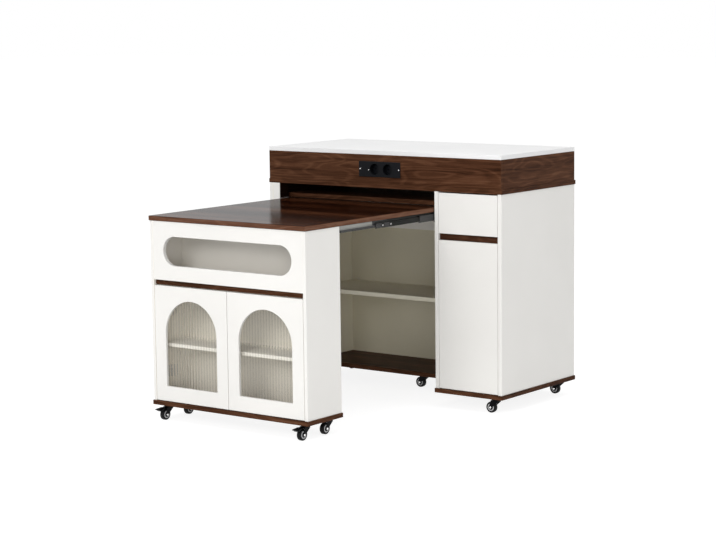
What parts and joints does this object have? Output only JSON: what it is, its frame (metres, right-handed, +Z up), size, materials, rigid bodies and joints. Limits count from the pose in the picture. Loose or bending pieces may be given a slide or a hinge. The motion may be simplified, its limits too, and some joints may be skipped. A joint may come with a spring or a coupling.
{
  "type": "kitchen cart with pull-out table",
  "caption": "White and walnut kitchen island on casters with a pull-out table, an end cabinet with fluted arch doors, a drawer column and sockets in the apron.",
  "frame": {"origin": "on the floor under the middle of the cart with the table drawn out", "axes": "+Z up, +Y from the pull-out cabinet to the back of the island, +X to the right"},
  "size_m": [1.006, 1.2014, 0.88],
  "materials": {
    "white_top": "satin",
    "white_lacquer": "satin",
    "walnut": "semi-gloss",
    "socket_black": "matte",
    "steel": "zinc plated",
    "fluted_glass": "fluted",
    "caster_black": "satin",
    "wheel": "satin"
  },
  "bodies": {
    "cabinet": {"worktop": "white_top", "sub_top": "walnut", "apron_returns": "walnut", "apron_front": "walnut", "socket_plate": "socket_black", "socket_inserts": "socket_black", "left_panel": "white_lacquer", "divider": "white_lacquer", "right_panel": "white_lacquer", "left_filler": "white_lacquer", "back_panel": "white_lacquer", "back_rails": "white_lacquer", "guide_board": "walnut", "bay_shelf": "white_lacquer", "column_rail": "walnut", "column_base": "walnut", "bay_floor": "walnut", "slide_rails_fixed": "steel", "column_fittings": "steel", "main_caster_plates": "caster_black"},
    "slide_a": {"slide_stage_a": "steel"},
    "slide_b": {"slide_stage_b": "steel"},
    "pullout": {"table_top": "walnut", "pullout_sides": "white_lacquer", "pullout_back": "white_lacquer", "pullout_base": "walnut", "niche_floor": "walnut", "pullout_shelf": "white_lacquer", "pullout_fascia": "white_lacquer", "pullout_hinge_arms": "steel", "slide_rails_inner": "steel", "pullout_caster_plates": "caster_black"},
    "left_leaf": {"left_door": "white_lacquer", "left_glass": "fluted_glass"},
    "right_leaf": {"right_door": "white_lacquer", "right_glass": "fluted_glass"},
    "drawer": {"drawer_front": "white_lacquer", "drawer_box": "white_lacquer", "drawer_runner_bars": "steel"},
    "column_leaf": {"column_door": "white_lacquer"},
    "fork_main_front_right": {"caster_fork_main_front_right": "caster_black"},
    "wheel_main_front_right": {"caster_wheel_main_front_right": "wheel"},
    "fork_main_back_right": {"caster_fork_main_back_right": "caster_black"},
    "wheel_main_back_right": {"caster_wheel_main_back_right": "wheel"},
    "fork_main_middle": {"caster_fork_main_middle": "caster_black"},
    "wheel_main_middle": {"caster_wheel_main_middle": "wheel"},
    "fork_main_front_left": {"caster_fork_main_front_left": "caster_black"},
    "wheel_main_front_left": {"caster_wheel_main_front_left": "wheel"},
    "fork_main_back_left": {"caster_fork_main_back_left": "caster_black"},
    "wheel_main_back_left": {"caster_wheel_main_back_left": "wheel"},
    "fork_pull_front_left": {"caster_fork_pull_front_left": "caster_black"},
    "wheel_pull_front_left": {"caster_wheel_pull_front_left": "wheel"},
    "pedal_pull_front_left": {"brake_pedal_pull_front_left": "caster_black"},
    "fork_pull_front_right": {"caster_fork_pull_front_right": "caster_black"},
    "wheel_pull_front_right": {"caster_wheel_pull_front_right": "wheel"},
    "pedal_pull_front_right": {"brake_pedal_pull_front_right": "caster_black"},
    "fork_pull_back_left": {"caster_fork_pull_back_left": "caster_black"},
    "wheel_pull_back_left": {"caster_wheel_pull_back_left": "wheel"},
    "fork_pull_back_right": {"caster_fork_pull_back_right": "caster_black"},
    "wheel_pull_back_right": {"caster_wheel_pull_back_right": "wheel"}
  },
  "joints": [
    {"name": "table_slide", "type": "slide", "parent": "cabinet", "child": "pullout", "axis": [0, 1, 0], "range_m": [0, 0.697]},
    {"name": "stage_a_slide", "type": "slide", "parent": "cabinet", "child": "slide_a", "axis": [0, 1, 0], "range_m": [0, 0.0852]},
    {"name": "stage_b_slide", "type": "slide", "parent": "cabinet", "child": "slide_b", "axis": [0, 1, 0], "range_m": [0, 0.3302]},
    {"name": "left_door_hinge", "type": "hinge", "parent": "pullout", "child": "left_leaf", "pos_m": [-0.4295, -0.56731, 0.265], "axis": [0, 0, -1], "range_deg": [0, 95]},
    {"name": "right_door_hinge", "type": "hinge", "parent": "pullout", "child": "right_leaf", "pos_m": [0.2035, -0.56731, 0.265], "axis": [0, 0, 1], "range_deg": [0, 95]},
    {"name": "column_door_hinge", "type": "hinge", "parent": "cabinet", "child": "column_leaf", "pos_m": [0.4815, 0.12969, 0.326], "axis": [0, 0, 1], "range_deg": [0, 95]},
    {"name": "drawer_slide", "type": "slide", "parent": "cabinet", "child": "drawer", "axis": [0, -1, 0], "range_m": [0, 0.3]},
    {"name": "swivel_main_front_right", "type": "hinge", "parent": "cabinet", "child": "fork_main_front_right", "pos_m": [0.456, 0.15769, 0.0444], "axis": [0, 0, 1], "continuous": true},
    {"name": "roll_main_front_right", "type": "hinge", "parent": "fork_main_front_right", "child": "wheel_main_front_right", "pos_m": [0.44, 0.15769, 0.019], "axis": [0, 1, 0], "continuous": true},
    {"name": "swivel_main_back_right", "type": "hinge", "parent": "cabinet", "child": "fork_main_back_right", "pos_m": [0.456, 0.56769, 0.0444], "axis": [0, 0, 1], "continuous": true},
    {"name": "roll_main_back_right", "type": "hinge", "parent": "fork_main_back_right", "child": "wheel_main_back_right", "pos_m": [0.44, 0.56769, 0.019], "axis": [0, 1, 0], "continuous": true},
    {"name": "swivel_main_middle", "type": "hinge", "parent": "cabinet", "child": "fork_main_middle", "pos_m": [-0.015, 0.40569, 0.0444], "axis": [0, 0, 1], "continuous": true},
    {"name": "roll_main_middle", "type": "hinge", "parent": "fork_main_middle", "child": "wheel_main_middle", "pos_m": [-0.031, 0.40569, 0.019], "axis": [0, 1, 0], "continuous": true},
    {"name": "swivel_main_front_left", "type": "hinge", "parent": "cabinet", "child": "fork_main_front_left", "pos_m": [-0.456, 0.40569, 0.0444], "axis": [0, 0, 1], "continuous": true},
    {"name": "roll_main_front_left", "type": "hinge", "parent": "fork_main_front_left", "child": "wheel_main_front_left", "pos_m": [-0.472, 0.40569, 0.019], "axis": [0, 1, 0], "continuous": true},
    {"name": "swivel_main_back_left", "type": "hinge", "parent": "cabinet", "child": "fork_main_back_left", "pos_m": [-0.456, 0.56769, 0.0444], "axis": [0, 0, 1], "continuous": true},
    {"name": "roll_main_back_left", "type": "hinge", "parent": "fork_main_back_left", "child": "wheel_main_back_left", "pos_m": [-0.472, 0.56769, 0.019], "axis": [0, 1, 0], "continuous": true},
    {"name": "swivel_pull_front_left", "type": "hinge", "parent": "pullout", "child": "fork_pull_front_left", "pos_m": [-0.409, -0.53931, 0.0444], "axis": [0, 0, 1], "continuous": true},
    {"name": "roll_pull_front_left", "type": "hinge", "parent": "fork_pull_front_left", "child": "wheel_pull_front_left", "pos_m": [-0.409, -0.55531, 0.019], "axis": [-1, 0, 0], "continuous": true},
    {"name": "brake_pull_front_left", "type": "hinge", "parent": "fork_pull_front_left", "child": "pedal_pull_front_left", "pos_m": [-0.409, -0.55569, 0.0429], "axis": [1, 0, 0], "range_deg": [0, 12]},
    {"name": "swivel_pull_front_right", "type": "hinge", "parent": "pullout", "child": "fork_pull_front_right", "pos_m": [0.183, -0.53931, 0.0444], "axis": [0, 0, 1], "continuous": true},
    {"name": "roll_pull_front_right", "type": "hinge", "parent": "fork_pull_front_right", "child": "wheel_pull_front_right", "pos_m": [0.183, -0.55531, 0.019], "axis": [-1, 0, 0], "continuous": true},
    {"name": "brake_pull_front_right", "type": "hinge", "parent": "fork_pull_front_right", "child": "pedal_pull_front_right", "pos_m": [0.183, -0.55569, 0.0429], "axis": [1, 0, 0], "range_deg": [0, 12]},
    {"name": "swivel_pull_back_left", "type": "hinge", "parent": "pullout", "child": "fork_pull_back_left", "pos_m": [-0.409, -0.42131, 0.0444], "axis": [0, 0, 1], "continuous": true},
    {"name": "roll_pull_back_left", "type": "hinge", "parent": "fork_pull_back_left", "child": "wheel_pull_back_left", "pos_m": [-0.409, -0.43731, 0.019], "axis": [-1, 0, 0], "continuous": true},
    {"name": "swivel_pull_back_right", "type": "hinge", "parent": "pullout", "child": "fork_pull_back_right", "pos_m": [0.183, -0.42131, 0.0444], "axis": [0, 0, 1], "continuous": true},
    {"name": "roll_pull_back_right", "type": "hinge", "parent": "fork_pull_back_right", "child": "wheel_pull_back_right", "pos_m": [0.183, -0.43731, 0.019], "axis": [-1, 0, 0], "continuous": true}
  ],
  "couplings": [
    {"joint": "stage_a_slide", "follows": "table_slide", "ratio": 0.12195},
    {"joint": "stage_b_slide", "follows": "table_slide", "ratio": 0.47346}
  ]
}
